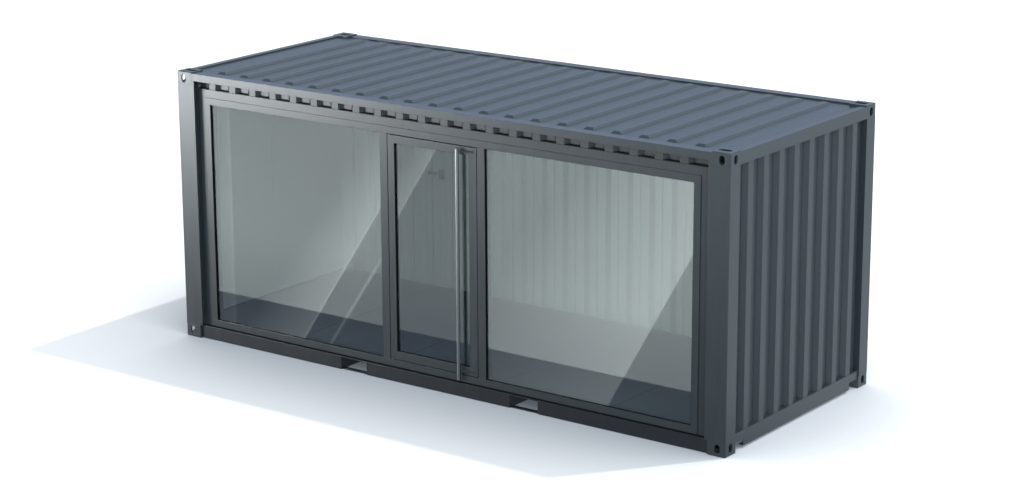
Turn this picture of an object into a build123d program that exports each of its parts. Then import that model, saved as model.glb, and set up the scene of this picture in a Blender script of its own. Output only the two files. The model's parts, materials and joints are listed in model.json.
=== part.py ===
from build123d import *
import math
import os

# Twenty-foot container cabin: a steel container whose long front side has been
# opened and closed again with a glazed frame, two fixed panes and a glass door.
#
# Millimetres, +Z up.  The origin is the centre of the footprint on the ground.
# +X runs along the long side, -Y is the glazed front, +Y the closed rear side.
# "Depth" is measured inwards from the outer face of the side being described.

# ---------------------------------------------------------------- overall size
LENGTH = 6058.0
WIDTH = 2438.0
HEIGHT = 2591.0

# ------------------------------------------------------------- corner castings
CASTING_LENGTH = 178.0
CASTING_WIDTH = 162.0
CASTING_HEIGHT = 118.0
CASTING_WALL = 16.0
CASTING_SLOT_PLATE = 28.0
CASTING_BACK_PLATE = 10.0
CASTING_EDGE_RADIUS = 14.0
CASTING_FOOT_CHAMFER = 6.0
SLOT_LENGTH = 124.0
SLOT_WIDTH = 63.5
SLOT_FROM_END = 102.5
SLOT_FROM_SIDE = 89.5
HAND_HOLE_HEIGHT = 80.0
HAND_HOLE_WIDTH = 54.0
HAND_HOLE_FROM_CORNER = 82.0
HAND_HOLE_FROM_SLOT = 66.0

# ---------------------------------------------------------------- corner posts
POST_SHEET = 6.0
POST_SIDE_ARM = 208.0
POST_END_ARM = 155.0
POST_LIP = 36.0
POST_END_RETURN = 66.0
POST_FOLD_RADIUS = 9.0

# ----------------------------------------------------------------------- rails
RAIL_SHEET = 6.0
SIDE_RAIL_RECESS = 22.0
SIDE_RAIL_BOTTOM = 5.0
SIDE_RAIL_TOP = 128.0
SIDE_RAIL_FOOT = 48.0
TOP_RAIL_DROP = 10.0
SIDE_TOP_RAIL_HEIGHT = 70.0
SIDE_TOP_RAIL_DEPTH = 110.0
END_TOP_RAIL_DEPTH = 66.0
TOP_RAIL_WALL = 4.0
END_RAIL_RECESS = 12.0
END_RAIL_BOTTOM = 25.0
END_RAIL_TOP = 165.0
END_RAIL_DEPTH = 68.0
END_RAIL_FOOT = 48.0
END_RAIL_NOTCH_HEIGHT = 90.0
END_RAIL_NOTCH_END = 311.0

# ---------------------------------------------------------- floor and its base
FLOOR_THICKNESS = 21.0
MEMBER_WIDTH = 45.0
MEMBER_SHEET = 4.0
MEMBERS_PER_BAY = 4
POCKET_WIDTH = 300.0
FIRST_POCKET = 2064.0
POCKET_PITCH = 1918.0
POCKET_SHEET = 6.0
POCKET_ROOF = 8.0
POCKET_STRAP_FROM_MOUTH = 14.0
POCKET_STRAP_WIDTH = 44.0
POCKET_STRAP_THICKNESS = 8.0

# ------------------------------------------------------------ corrugated sheet
SHEET = 2.0
SIDE_PITCH = 247.4
SIDE_FIRST_RIDGE = 386.0
SIDE_RIDGE_FLAT = 80.0
SIDE_SLOPE = 38.0
SIDE_RIB_DEPTH = 36.0
END_PITCH = 250.0
END_RIDGE_FLAT = 80.0
END_SLOPE = 30.0
END_RIB_DEPTH = 46.0
END_WALL_RECESS = 14.0

# ------------------------------------------------------------------------ roof
ROOF_DROP = 14.0
ROOF_SHEET = 2.0
ROOF_PITCH = 277.0
ROOF_RIDGE_FROM_END = 300.0
ROOF_RIDGE_BASE = 110.0
ROOF_RIDGE_FLAT = 60.0
ROOF_RIDGE_HEIGHT = 20.0
ROOF_RIDGE_MARGIN = 178.0
ROOF_RIDGE_END_SLOPE = 22.0

# --------------------------------------------------------------- glazing frame
FRAME_RECESS = 60.0
FRAME_DEPTH = 88.0
FRAME_WALL = 4.0
PROFILE_STEP = 8.0
PROFILE_WIDTH = 65.0
FRONT_STRIP_HEIGHT = 77.0
HEAD_HEIGHT = 141.0
SILL_TOP = 198.0
SILL_SHADOW_GAP = 5.0
LEDGE_START = 27.0
LEDGE_THICKNESS = 3.0
LEFT_JAMB_WIDTH = 149.0
RIGHT_JAMB_WIDTH = 167.0
LEFT_MULLION_AT = 2389.0
RIGHT_MULLION_AT = 3469.0
MULLION_WIDTH = 82.0
DOOR_STOP_WIDTH = 14.0
DOOR_STOP_DEPTH = 12.0

# ---------------------------------------------------------------------- panes
GLASS_RECESS = 17.0
GLASS_THICKNESS = 12.0
BEAD_WIDTH = 3.0
BEAD_DEPTH = 8.0
REVEAL_LINING_DEPTH = 14.0

# ------------------------------------------------------------------------ door
DOOR_GAP = 7.0
HINGE_GAP = 8.0
DOOR_DEPTH = 60.0
STOP_CLEARANCE = 8.0
HINGE_STILE = 72.0
LOCK_STILE = 83.0
DOOR_TOP_RAIL = 72.0
DOOR_BOTTOM_RAIL = 78.0
DOOR_WALL = 4.0
PIVOT_INSET = 12.0
PIVOT_BEHIND_FACE = 8.0
PIVOT_RADIUS = 5.0
PIVOT_CLEARANCE = 0.08
PIVOT_ENGAGEMENT = 14.0
PIVOT_COLLAR_RADIUS = 7.0
PIVOT_COLLAR = 2.0
PIVOT_PAD = 36.0

# ------------------------------------------------------------------- door pull
PULL_DIAMETER = 34.0
PULL_WALL = 2.0
PULL_STANDOFF = 33.0
PULL_FROM_STILE = 103.0
PULL_ARM_DIAMETER = 14.0
PULL_BELOW_LEAF = 46.0
PULL_BELOW_TOP = 16.0
PULL_ARM_FROM_EDGE = 40.0
PULL_FOOT_DIAMETER = 30.0
PULL_FOOT = 3.0

# -------------------------------------------------------------------- interior
LINING = 12.0
LINING_JOINT = 3.0
CASING_SHEET = 6.0
BRACKET_X = 1141.0
BRACKET_BAR_LENGTH = 150.0
BRACKET_BAR_HEIGHT = 30.0
BRACKET_BAR_DEPTH = 10.0
BRACKET_PLATE_WIDTH = 50.0
BRACKET_PLATE_HEIGHT = 90.0
BRACKET_PLATE_DEPTH = 16.0
BRACKET_HEIGHT = 1310.0

# -------------------------------------------------------------- derived places
HALF_LENGTH = LENGTH / 2
HALF_WIDTH = WIDTH / 2
LEFT = -HALF_LENGTH
FRONT = -HALF_WIDTH
CASTING_TOP = CASTING_HEIGHT
UPPER_CASTING = HEIGHT - CASTING_HEIGHT
TOP_RAIL_TOP = HEIGHT - TOP_RAIL_DROP
SIDE_TOP_RAIL_BOTTOM = TOP_RAIL_TOP - SIDE_TOP_RAIL_HEIGHT
HEAD_TOP = SIDE_TOP_RAIL_BOTTOM - FRONT_STRIP_HEIGHT
HEAD_BOTTOM = HEAD_TOP - HEAD_HEIGHT
POCKET_CENTRES = (FIRST_POCKET, FIRST_POCKET + POCKET_PITCH)
POCKET_HALF = POCKET_WIDTH / 2 + POCKET_SHEET
FLOOR_BOTTOM = SIDE_RAIL_TOP
FLOOR_TOP = FLOOR_BOTTOM + FLOOR_THICKNESS
ROOF_LEVEL = TOP_RAIL_TOP - ROOF_DROP
FRAME_BACK = FRAME_RECESS + FRAME_DEPTH
PROFILE_RECESS = FRAME_RECESS - PROFILE_STEP
SILL_PROFILE_BOTTOM = SIDE_RAIL_TOP + LEDGE_THICKNESS + SILL_SHADOW_GAP
SIDE_WALL_BACK = FRAME_RECESS + SIDE_RIB_DEPTH + SHEET
END_WALL_BACK = END_WALL_RECESS + END_RIB_DEPTH + SHEET
OPENING_START = POST_SIDE_ARM + LEFT_JAMB_WIDTH
OPENING_END = LENGTH - POST_SIDE_ARM - RIGHT_JAMB_WIDTH
PROFILE_SPAN = OPENING_START - PROFILE_WIDTH, OPENING_END + PROFILE_WIDTH
LEFT_MULLION_END = LEFT_MULLION_AT + MULLION_WIDTH
RIGHT_MULLION_END = RIGHT_MULLION_AT + MULLION_WIDTH
LEAF_LEFT = LEFT_MULLION_END + HINGE_GAP
LEAF_RIGHT = RIGHT_MULLION_AT - DOOR_GAP
LEAF_BOTTOM = SILL_TOP + DOOR_GAP
LEAF_TOP = HEAD_BOTTOM - DOOR_GAP


# --------------------------------------------------------------------- helpers
def prism_x(points, start, end):
    """Extrude an outline of (depth, height) points along X, both counted from the left front."""
    outline = Polygon(*[(FRONT + d, z) for d, z in points], align=None)
    return extrude(Plane.YZ.offset(LEFT + start) * outline, end - start, dir=(1, 0, 0))


def prism_y(points, start, end):
    """Extrude an outline of (distance from the left end, height) points from front to rear."""
    outline = Polygon(*[(LEFT + u, z) for u, z in points], align=None)
    return extrude(Plane.XZ.offset(-(FRONT + start)) * outline, end - start, dir=(0, 1, 0))


def prism_z(points, bottom, top):
    """Extrude a plan outline of (distance from the left end, depth) points upwards."""
    outline = Polygon(*[(LEFT + u, FRONT + d) for u, d in points], align=None)
    return extrude(Plane.XY.offset(bottom) * outline, top - bottom, dir=(0, 0, 1))


def block(u0, u1, d0, d1, z0, z1):
    """A plain block between two corners, counted from the left front corner."""
    return prism_z([(u0, d0), (u1, d0), (u1, d1), (u0, d1)], z0, z1)


def rectangle(a0, a1, b0, b1):
    return [(a0, b0), (a1, b0), (a1, b1), (a0, b1)]


def to_rear(shape):
    return mirror(shape, about=Plane.XZ)


def to_right(shape):
    return mirror(shape, about=Plane.YZ)


def four_corners(shape):
    """The same piece at all four corners of the footprint."""
    front = [shape, to_right(shape)]
    return front + [to_rear(piece) for piece in front]


def tube_section(make, a, b, wall, start, end):
    """A rectangular hollow bar: a and b are its two pairs of limits."""
    outer = make(rectangle(*a, *b), start, end)
    inner = rectangle(a[0] + wall, a[1] - wall, b[0] + wall, b[1] - wall)
    return outer - make(inner, start, end)


def corrugation(start, end, first_ridge, ridges, pitch, flat, slope, depth):
    """Outer and inner outlines of a trapezoidal sheet whose ridges touch depth 0."""
    shift = SHEET * math.tan(math.atan2(depth, slope) / 2)
    outer, inner = [(start, depth)], [(start, depth + SHEET)]
    for i in range(ridges):
        low = first_ridge + i * pitch - flat / 2
        high = low + flat
        outer += [(low - slope, depth), (low, 0), (high, 0), (high + slope, depth)]
        inner += [
            (low - slope + shift, depth + SHEET),
            (low + shift, SHEET),
            (high - shift, SHEET),
            (high + slope - shift, depth + SHEET),
        ]
    outer.append((end, depth))
    inner.append((end, depth + SHEET))
    return outer + inner[::-1]


# ------------------------------------------------------------- corner castings
def bottom_casting():
    body = block(0, CASTING_LENGTH, 0, CASTING_WIDTH, 0, CASTING_HEIGHT)
    upright = body.edges().filter_by(Axis.Z).sort_by(Axis.X)[:2].sort_by(Axis.Y)[0]
    body = fillet(upright, CASTING_EDGE_RADIUS)
    outer_bottom = body.edges().group_by(Axis.Z)[0]
    front_foot = outer_bottom.filter_by(Axis.X).sort_by(Axis.Y)[0]
    end_foot = outer_bottom.filter_by(Axis.Y).sort_by(Axis.X)[0]
    round_foot = outer_bottom.filter_by(GeomType.CIRCLE)[0]
    body = chamfer([front_foot, end_foot, round_foot], CASTING_FOOT_CHAMFER)
    body -= block(
        CASTING_WALL,
        CASTING_LENGTH - CASTING_WALL,
        CASTING_WALL,
        CASTING_WIDTH - CASTING_WALL,
        CASTING_SLOT_PLATE,
        CASTING_HEIGHT - CASTING_BACK_PLATE,
    )
    slot_place = Pos(LEFT + SLOT_FROM_END, FRONT + SLOT_FROM_SIDE)
    slot = slot_place * SlotOverall(SLOT_LENGTH, SLOT_WIDTH)
    body -= extrude(slot, amount=CASTING_SLOT_PLATE)
    hand_hole = SlotOverall(HAND_HOLE_HEIGHT, HAND_HOLE_WIDTH, rotation=90)
    front_hole = Plane(
        origin=(LEFT + HAND_HOLE_FROM_CORNER, FRONT, HAND_HOLE_FROM_SLOT),
        x_dir=(1, 0, 0),
        z_dir=(0, -1, 0),
    )
    end_hole = Plane(
        origin=(LEFT, FRONT + HAND_HOLE_FROM_CORNER, HAND_HOLE_FROM_SLOT),
        x_dir=(0, 1, 0),
        z_dir=(1, 0, 0),
    )
    body -= extrude(front_hole * hand_hole, amount=-CASTING_WALL)
    body -= extrude(end_hole * hand_hole, amount=CASTING_WALL)
    return body


def castings():
    lower = bottom_casting()
    upper = Pos(0, 0, HEIGHT) * mirror(lower, about=Plane.XY)
    return four_corners(lower), four_corners(upper)


# ---------------------------------------------------------------- corner posts
def post_section():
    """Folded plate: two arms, each with a return that carries a wall."""
    web = POST_SIDE_ARM - POST_LIP - POST_SHEET
    flange = FRAME_RECESS + POST_SHEET
    return [
        (0, 0),
        (POST_SIDE_ARM, 0),
        (POST_SIDE_ARM, POST_SHEET),
        (web + POST_SHEET, POST_SHEET),
        (web + POST_SHEET, FRAME_RECESS),
        (POST_SIDE_ARM, FRAME_RECESS),
        (POST_SIDE_ARM, flange),
        (web, flange),
        (web, POST_SHEET),
        (POST_SHEET, POST_SHEET),
        (POST_SHEET, POST_END_ARM - POST_SHEET),
        (POST_END_RETURN, POST_END_ARM - POST_SHEET),
        (POST_END_RETURN, POST_END_ARM),
        (0, POST_END_ARM),
    ]


def corner_post():
    """The part beside a casting runs from rail to rail, the rest stands on the casting."""
    full = prism_z(post_section(), CASTING_TOP, SIDE_TOP_RAIL_BOTTOM)
    full -= block(CASTING_LENGTH, POST_SIDE_ARM, 0, FRAME_BACK, CASTING_TOP, SIDE_RAIL_TOP)
    full -= block(0, CASTING_LENGTH, 0, CASTING_WIDTH, UPPER_CASTING, SIDE_TOP_RAIL_BOTTOM)
    outer_edge = full.edges().filter_by(Axis.Z).sort_by(lambda e: (e @ 0).X + (e @ 0).Y)[0]
    return fillet(outer_edge, POST_FOLD_RADIUS)


# ----------------------------------------------------------------------- rails
def side_bottom_rail():
    """Channel in three lengths beside the fork pockets, its top flange carries the walls."""
    face, top = SIDE_RAIL_RECESS, SIDE_RAIL_TOP
    section = [
        (face, SIDE_RAIL_BOTTOM),
        (face + SIDE_RAIL_FOOT, SIDE_RAIL_BOTTOM),
        (face + SIDE_RAIL_FOOT, SIDE_RAIL_BOTTOM + RAIL_SHEET),
        (face + RAIL_SHEET, SIDE_RAIL_BOTTOM + RAIL_SHEET),
        (face + RAIL_SHEET, top - RAIL_SHEET),
        (FRAME_BACK, top - RAIL_SHEET),
        (FRAME_BACK, top),
        (face, top),
    ]
    starts = [CASTING_LENGTH] + [centre + POCKET_HALF for centre in POCKET_CENTRES]
    ends = [centre - POCKET_HALF for centre in POCKET_CENTRES] + [LENGTH - CASTING_LENGTH]
    return [prism_x(section, start, end) for start, end in zip(starts, ends)]


def side_top_rail():
    limits = (0, SIDE_TOP_RAIL_DEPTH), (SIDE_TOP_RAIL_BOTTOM, TOP_RAIL_TOP)
    return tube_section(
        prism_x, *limits, TOP_RAIL_WALL, CASTING_LENGTH, LENGTH - CASTING_LENGTH
    )


def end_bottom_rail():
    """Deep apron between the castings, cut back at both ends."""
    face, back = END_RAIL_RECESS, END_RAIL_RECESS + END_RAIL_DEPTH
    section = [
        (face, END_RAIL_BOTTOM),
        (face + END_RAIL_FOOT, END_RAIL_BOTTOM),
        (face + END_RAIL_FOOT, END_RAIL_BOTTOM + RAIL_SHEET),
        (face + RAIL_SHEET, END_RAIL_BOTTOM + RAIL_SHEET),
        (face + RAIL_SHEET, END_RAIL_TOP - RAIL_SHEET),
        (back - RAIL_SHEET, END_RAIL_TOP - RAIL_SHEET),
        (back - RAIL_SHEET, FLOOR_BOTTOM),
        (back, FLOOR_BOTTOM),
        (back, END_RAIL_TOP),
        (face, END_RAIL_TOP),
    ]
    rail = prism_y(section, CASTING_WIDTH, WIDTH - CASTING_WIDTH)
    for d0, d1 in (
        (CASTING_WIDTH, END_RAIL_NOTCH_END),
        (WIDTH - END_RAIL_NOTCH_END, WIDTH - CASTING_WIDTH),
    ):
        rail -= block(0, back, d0, d1, 0, END_RAIL_NOTCH_HEIGHT)
    return rail


def end_top_rail():
    limits = (0, END_TOP_RAIL_DEPTH), (UPPER_CASTING, TOP_RAIL_TOP)
    return tube_section(
        prism_y, *limits, TOP_RAIL_WALL, CASTING_WIDTH, WIDTH - CASTING_WIDTH
    )


# ------------------------------------------------------------------ floor base
def cross_members():
    """Channels from side rail to side rail, in three bays beside the fork pockets."""
    end_start = END_RAIL_RECESS + END_RAIL_DEPTH
    bays = [
        (end_start, POCKET_CENTRES[0] - POCKET_HALF),
        (POCKET_CENTRES[0] + POCKET_HALF, POCKET_CENTRES[1] - POCKET_HALF),
        (POCKET_CENTRES[1] + POCKET_HALF, LENGTH - end_start),
    ]
    bottom = SIDE_RAIL_BOTTOM + RAIL_SHEET
    members = []
    for low, high in bays:
        step = (high - low) / MEMBERS_PER_BAY
        for i in range(MEMBERS_PER_BAY):
            u0 = low + step * (i + 0.5) - MEMBER_WIDTH / 2
            u1 = u0 + MEMBER_WIDTH
            section = [
                (u0, bottom),
                (u1, bottom),
                (u1, bottom + MEMBER_SHEET),
                (u0 + MEMBER_SHEET, bottom + MEMBER_SHEET),
                (u0 + MEMBER_SHEET, FLOOR_BOTTOM - MEMBER_SHEET),
                (u1, FLOOR_BOTTOM - MEMBER_SHEET),
                (u1, FLOOR_BOTTOM),
                (u0, FLOOR_BOTTOM),
            ]
            web = SIDE_RAIL_RECESS + RAIL_SHEET
            member = prism_y(section, web, WIDTH - web)
            flange = SIDE_RAIL_TOP - RAIL_SHEET
            member -= block(u0, u1, 0, FRAME_BACK, flange, SIDE_RAIL_TOP)
            member -= block(u0, u1, WIDTH - FRAME_BACK, WIDTH, flange, SIDE_RAIL_TOP)
            members.append(member)
    return members


def fork_pockets():
    """Two tunnels from front to rear, open underneath but for a strap near each mouth."""
    mouth = SIDE_RAIL_RECESS
    strap_start = mouth + POCKET_STRAP_FROM_MOUTH
    tunnels = []
    for centre in POCKET_CENTRES:
        inside = centre - POCKET_WIDTH / 2, centre + POCKET_WIDTH / 2
        tunnel = block(
            centre - POCKET_HALF,
            centre + POCKET_HALF,
            mouth,
            WIDTH - mouth,
            SIDE_RAIL_BOTTOM,
            SIDE_RAIL_TOP,
        )
        tunnel -= block(*inside, 0, WIDTH, 0, SIDE_RAIL_TOP - POCKET_ROOF)
        strap = block(
            *inside,
            strap_start,
            strap_start + POCKET_STRAP_WIDTH,
            SIDE_RAIL_BOTTOM,
            SIDE_RAIL_BOTTOM + POCKET_STRAP_THICKNESS,
        )
        tunnels.append(tunnel + strap + to_rear(strap))
    return tunnels


def floor_deck():
    inset = END_RAIL_RECESS + END_RAIL_DEPTH
    return block(
        inset, LENGTH - inset, FRAME_BACK, WIDTH - SIDE_WALL_BACK, FLOOR_BOTTOM, FLOOR_TOP
    )


# ----------------------------------------------------------------------- walls
def side_sheet(bottom, top):
    """Corrugated sheet between the returns of two posts, with as many ridges as fit."""
    end = LENGTH - POST_SIDE_ARM
    last_ridge = end - SIDE_RIDGE_FLAT / 2 - SIDE_SLOPE
    points = corrugation(
        POST_SIDE_ARM,
        end,
        SIDE_FIRST_RIDGE,
        int((last_ridge - SIDE_FIRST_RIDGE) / SIDE_PITCH) + 1,
        SIDE_PITCH,
        SIDE_RIDGE_FLAT,
        SIDE_SLOPE,
        SIDE_RIB_DEPTH,
    )
    return prism_z([(u, FRAME_RECESS + d) for u, d in points], bottom, top)


def end_sheet():
    """Corrugated sheet of the left end, as many ridges as fit, centred on the end."""
    nearest = POST_END_ARM + END_RIDGE_FLAT / 2 + END_SLOPE
    ridges = int((WIDTH - 2 * nearest) / END_PITCH) + 1
    first = (WIDTH - (ridges - 1) * END_PITCH) / 2
    points = corrugation(
        POST_END_ARM,
        WIDTH - POST_END_ARM,
        first,
        ridges,
        END_PITCH,
        END_RIDGE_FLAT,
        END_SLOPE,
        END_RIB_DEPTH,
    )
    return prism_z([(END_WALL_RECESS + d, u) for u, d in points], END_RAIL_TOP, UPPER_CASTING)


def end_lining():
    """Two smooth boards behind the left end sheet, with a joint on the centre line."""
    half_joint = LINING_JOINT / 2
    middle = HALF_WIDTH
    inner = END_WALL_BACK + LINING
    return [
        block(END_WALL_BACK, inner, POST_END_ARM, middle - half_joint, END_RAIL_TOP, UPPER_CASTING),
        block(
            END_WALL_BACK,
            inner,
            middle + half_joint,
            WIDTH - POST_END_ARM,
            END_RAIL_TOP,
            UPPER_CASTING,
        ),
    ]


def corner_casing():
    """Folded plate that closes the inside of a post, from lining to frame."""
    back = POST_END_ARM
    flange_back = FRAME_RECESS + POST_SHEET
    section = [
        (POST_END_RETURN, back - CASING_SHEET),
        (POST_SIDE_ARM - CASING_SHEET, back - CASING_SHEET),
        (POST_SIDE_ARM - CASING_SHEET, flange_back),
        (POST_SIDE_ARM, flange_back),
        (POST_SIDE_ARM, back),
        (POST_END_RETURN, back),
    ]
    return prism_z(section, FLOOR_TOP, UPPER_CASTING)


# ------------------------------------------------------------------------ roof
def roof_ridge_centres():
    """As many ridges as fit between the ends, centred on the roof."""
    spaces = int((LENGTH - 2 * ROOF_RIDGE_FROM_END) / ROOF_PITCH)
    return [(i - spaces / 2) * ROOF_PITCH for i in range(spaces + 1)]


def roof_ridge(centre, lift, shrink):
    """One pressed ridge: a flat-topped hip over its base, shrunk for the underside."""
    length = WIDTH - 2 * ROOF_RIDGE_MARGIN
    base = Rectangle(ROOF_RIDGE_BASE - 2 * shrink, length - 2 * shrink)
    top = Rectangle(
        ROOF_RIDGE_FLAT - 2 * shrink, length - 2 * ROOF_RIDGE_END_SLOPE - 2 * shrink
    )
    low = Pos(centre, 0, lift)
    high = Pos(centre, 0, lift + ROOF_RIDGE_HEIGHT)
    return loft([low * base, high * top])


def roof_panel():
    inset_x, inset_y = END_TOP_RAIL_DEPTH, SIDE_TOP_RAIL_DEPTH
    underside = ROOF_LEVEL - ROOF_SHEET
    panel = block(inset_x, LENGTH - inset_x, inset_y, WIDTH - inset_y, underside, ROOF_LEVEL)
    for casting in four_corners(
        block(0, CASTING_LENGTH, 0, CASTING_WIDTH, underside, ROOF_LEVEL)
    ):
        panel -= casting
    centres = roof_ridge_centres()
    ridges = [roof_ridge(centre, ROOF_LEVEL, 0) for centre in centres]
    hollows = [roof_ridge(centre, underside, ROOF_SHEET) for centre in centres]
    return panel + ridges - hollows


# --------------------------------------------------------------- glazing frame
def frame_bar(cover, profile, along):
    """Hollow bar: a flat cover plate, with the window profile proud of it along one edge.

    cover and profile are (u0, u1, z0, z1).  The cover's hollow runs out at both ends
    of its length, "x" or "z", and the profile's hollow opens into it.
    """
    wall = FRAME_WALL
    inside = (0, wall) if along == "x" else (wall, 0)
    bar = slab(cover, FRAME_RECESS, FRAME_BACK) + slab(profile, PROFILE_RECESS, FRAME_RECESS)
    bar -= slab(shrink(cover, *inside), FRAME_RECESS + wall, FRAME_BACK - wall)
    return bar - slab(shrink(profile, wall, wall), PROFILE_RECESS + wall, FRAME_RECESS + wall)


def slab(face, front, back):
    u0, u1, z0, z1 = face
    return block(u0, u1, front, back, z0, z1)


def shrink(face, by_u, by_z):
    u0, u1, z0, z1 = face
    return u0 + by_u, u1 - by_u, z0 + by_z, z1 - by_z


def frame_head():
    bar = frame_bar(
        (POST_SIDE_ARM, LENGTH - POST_SIDE_ARM, HEAD_BOTTOM, HEAD_TOP),
        (*PROFILE_SPAN, HEAD_BOTTOM, HEAD_BOTTOM + PROFILE_WIDTH),
        "x",
    )
    bar += door_stop(HEAD_BOTTOM - DOOR_STOP_WIDTH, HEAD_BOTTOM)
    bar += pivot_pad(HEAD_BOTTOM, HEAD_BOTTOM + PIVOT_ENGAGEMENT)
    return bar - pivot_socket(HEAD_BOTTOM)


def frame_sill():
    """The sill's profile ends short of the rail, which leaves a shadow gap."""
    bar = frame_bar(
        (POST_SIDE_ARM, LENGTH - POST_SIDE_ARM, SIDE_RAIL_TOP, SILL_TOP),
        (*PROFILE_SPAN, SILL_PROFILE_BOTTOM, SILL_TOP),
        "x",
    )
    bar += door_stop(SILL_TOP, SILL_TOP + DOOR_STOP_WIDTH)
    bar += pivot_pad(SILL_TOP - PIVOT_ENGAGEMENT, SILL_TOP)
    return bar - pivot_socket(SILL_TOP)


def door_stop_depths():
    start = PROFILE_RECESS + DOOR_DEPTH + STOP_CLEARANCE
    return start, start + DOOR_STOP_DEPTH


def door_stop(z0, z1):
    """Strip between the mullions, on the head or the sill, that the door closes on."""
    return block(LEFT_MULLION_END, RIGHT_MULLION_AT, *door_stop_depths(), z0, z1)


def pivot_centre():
    return LEAF_LEFT + PIVOT_INSET, PROFILE_RECESS + PIVOT_BEHIND_FACE


def pivot_pad(z0, z1):
    """Solid pad inside a bar, thick enough for a pivot's socket."""
    u, d = pivot_centre()
    half = PIVOT_PAD / 2
    return block(u - half, u + half, PROFILE_RECESS, d + half, z0, z1)


def pivot_socket(face):
    """Round socket for a door pivot, as deep as the pin on both sides of a face."""
    u, d = pivot_centre()
    return Pos(LEFT + u, FRONT + d, face) * Cylinder(
        PIVOT_RADIUS + PIVOT_CLEARANCE, 2 * PIVOT_ENGAGEMENT
    )


def frame_jamb(start, end, profile_start):
    return frame_bar(
        (start, end, SILL_TOP, HEAD_BOTTOM),
        (profile_start, profile_start + PROFILE_WIDTH, SILL_TOP, HEAD_BOTTOM),
        "z",
    )


def frame_mullion(start, stop_start):
    """Upright between a pane and the door, with the strip that the door closes on."""
    bar = tube_section(
        prism_z,
        (start, start + MULLION_WIDTH),
        (PROFILE_RECESS, FRAME_BACK),
        FRAME_WALL,
        SILL_TOP,
        HEAD_BOTTOM,
    )
    return bar + block(
        stop_start,
        stop_start + DOOR_STOP_WIDTH,
        *door_stop_depths(),
        SILL_TOP + DOOR_STOP_WIDTH,
        HEAD_BOTTOM - DOOR_STOP_WIDTH,
    )


def front_ledge():
    """Flat sealing strip on the rail, in front of the foot of the frame."""
    return block(
        POST_SIDE_ARM,
        LENGTH - POST_SIDE_ARM,
        LEDGE_START,
        FRAME_RECESS,
        SIDE_RAIL_TOP,
        SIDE_RAIL_TOP + LEDGE_THICKNESS,
    )


# ----------------------------------------------------------------------- panes
def pane(u0, u1, z0, z1):
    front = PROFILE_RECESS + GLASS_RECESS
    return block(u0, u1, front, front + GLASS_THICKNESS, z0, z1)


def beads(u0, u1, z0, z1):
    """Glazing beads in front of and behind a pane, the front one lines both reveals."""
    front = PROFILE_RECESS + GLASS_RECESS
    opening = u0, u1, z0, z1
    rings = []
    for start in (front - BEAD_DEPTH, front + GLASS_THICKNESS):
        ring = slab(opening, start, start + BEAD_DEPTH)
        ring -= slab(shrink(opening, BEAD_WIDTH, BEAD_WIDTH), start, start + BEAD_DEPTH)
        rings.append(ring)
    for edge in (u0, u1 - BEAD_WIDTH):
        rings[0] += block(edge, edge + BEAD_WIDTH, front - REVEAL_LINING_DEPTH, front, z0, z1)
    return rings


# ------------------------------------------------------------------------ door
def door_limits():
    return PROFILE_RECESS, PROFILE_RECESS + DOOR_DEPTH


def door_stile(u0, u1):
    return tube_section(prism_z, (u0, u1), door_limits(), DOOR_WALL, LEAF_BOTTOM, LEAF_TOP)


def door_rail(z0, z1):
    return tube_section(
        prism_x,
        door_limits(),
        (z0, z1),
        DOOR_WALL,
        LEAF_LEFT + HINGE_STILE,
        LEAF_RIGHT - LOCK_STILE,
    )


def pivot_block(z0, z1):
    """Solid end plug of the hinge stile, where a pivot pin is fixed."""
    u0, u1 = LEAF_LEFT + DOOR_WALL, LEAF_LEFT + HINGE_STILE - DOOR_WALL
    d0, d1 = door_limits()
    return block(u0, u1, d0 + DOOR_WALL, d1 - DOOR_WALL, z0, z1)


def hinge_stile():
    stile = door_stile(LEAF_LEFT, LEAF_LEFT + HINGE_STILE)
    stile += pivot_block(LEAF_BOTTOM, LEAF_BOTTOM + PIVOT_ENGAGEMENT)
    return stile + pivot_block(LEAF_TOP - PIVOT_ENGAGEMENT, LEAF_TOP)


def door_pivots():
    """Bottom and top pivot: a collar on the leaf and a pin that reaches into the frame."""
    u, d = pivot_centre()
    up = (Align.CENTER, Align.CENTER, Align.MIN)
    reach = DOOR_GAP + PIVOT_ENGAGEMENT - 1
    pin = Cylinder(PIVOT_RADIUS, reach, align=up)
    pin += Cylinder(PIVOT_COLLAR_RADIUS, PIVOT_COLLAR, align=up)
    upper = Pos(LEFT + u, FRONT + d, LEAF_TOP) * pin
    lower = Pos(LEFT + u, FRONT + d, LEAF_BOTTOM) * mirror(pin, about=Plane.XY)
    return [lower, upper]


def pull_axis():
    """Plan place of the pull's tube: in front of the leaf, beside the lock stile."""
    return LEAF_RIGHT - LOCK_STILE - PULL_FROM_STILE, PROFILE_RECESS - PULL_STANDOFF


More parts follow.
